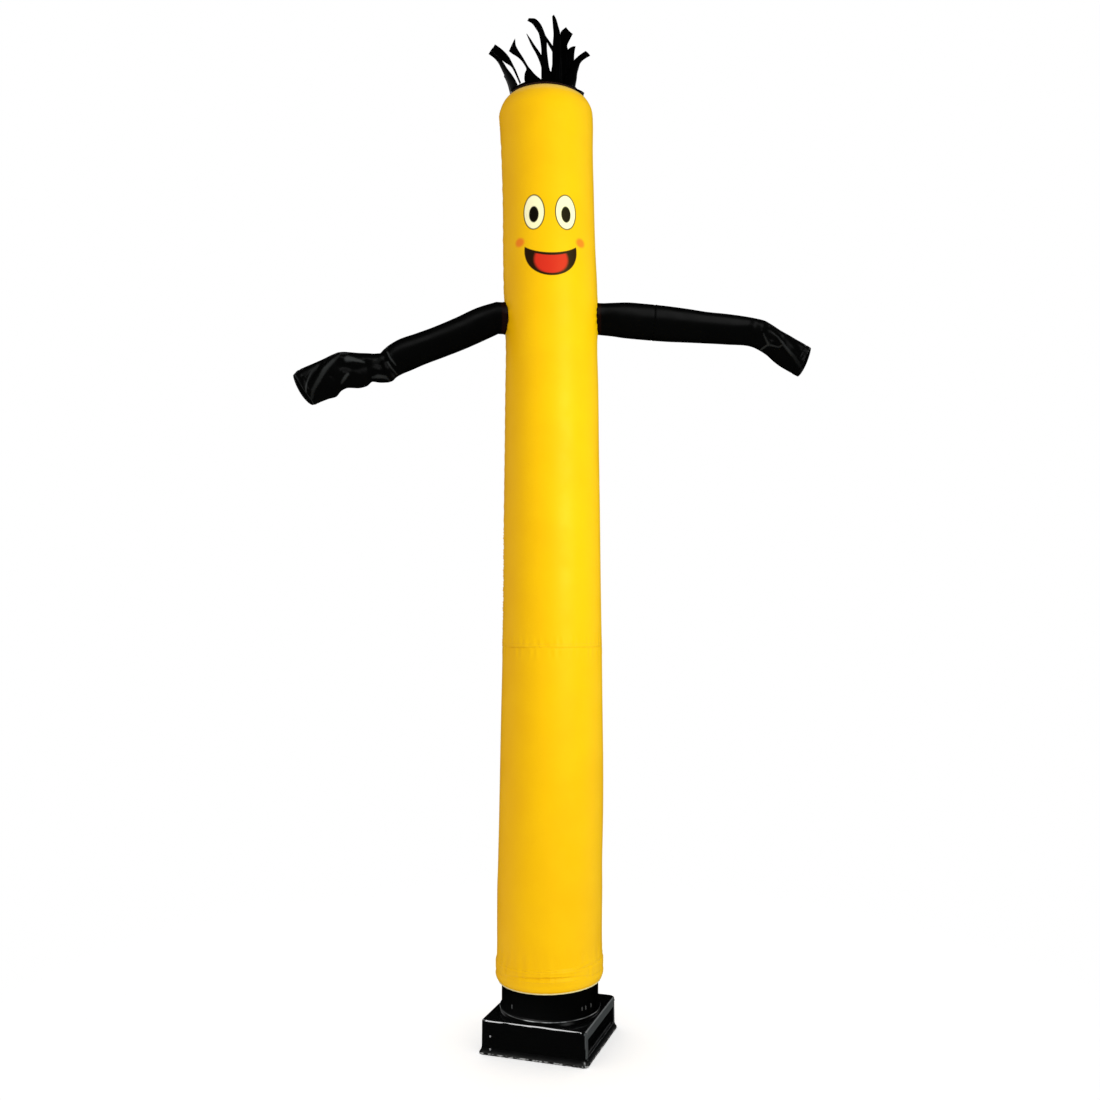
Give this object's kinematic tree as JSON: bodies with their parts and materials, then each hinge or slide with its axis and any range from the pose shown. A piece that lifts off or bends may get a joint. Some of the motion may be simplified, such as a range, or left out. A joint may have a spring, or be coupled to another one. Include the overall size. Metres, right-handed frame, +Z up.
{
  "type": "inflatable air dancer",
  "caption": "Tall inflated fabric tube figure with two open sleeves for arms and a strip fringe for hair, standing over the round outlet of a low square blower.",
  "frame": {"origin": "middle of the blower's underside, on the surface it stands on", "axes": "+Z up, -Y to the front of the figure, +X to the right of someone who faces it"},
  "size_m": [1.2211, 0.3254, 2.3907],
  "materials": {
    "yellow_nylon_lower": "smooth coated nylon, soft sheen",
    "yellow_nylon_upper": "smooth coated nylon, soft sheen",
    "yellow_nylon_crown": "smooth coated nylon, soft sheen",
    "black_nylon_left": "thin black nylon, soft highlights on its folds",
    "black_nylon_right": "thin black nylon, soft highlights on its folds",
    "black_fringe": "black nylon strips",
    "duct_plastic": "satin black moulded plastic",
    "housing_plastic": "glossy black moulded plastic",
    "gland_rubber": "matt black plastic"
  },
  "bodies": {
    "root": {"body_lower": "yellow_nylon_lower", "body_upper": "yellow_nylon_upper", "crown_cap": "yellow_nylon_crown", "arm_left": "black_nylon_left", "arm_right": "black_nylon_right", "hair_fringe": "black_fringe", "outlet_collar": "duct_plastic", "blower_housing": "housing_plastic", "cord_gland": "gland_rubber"}
  },
  "joints": []
}
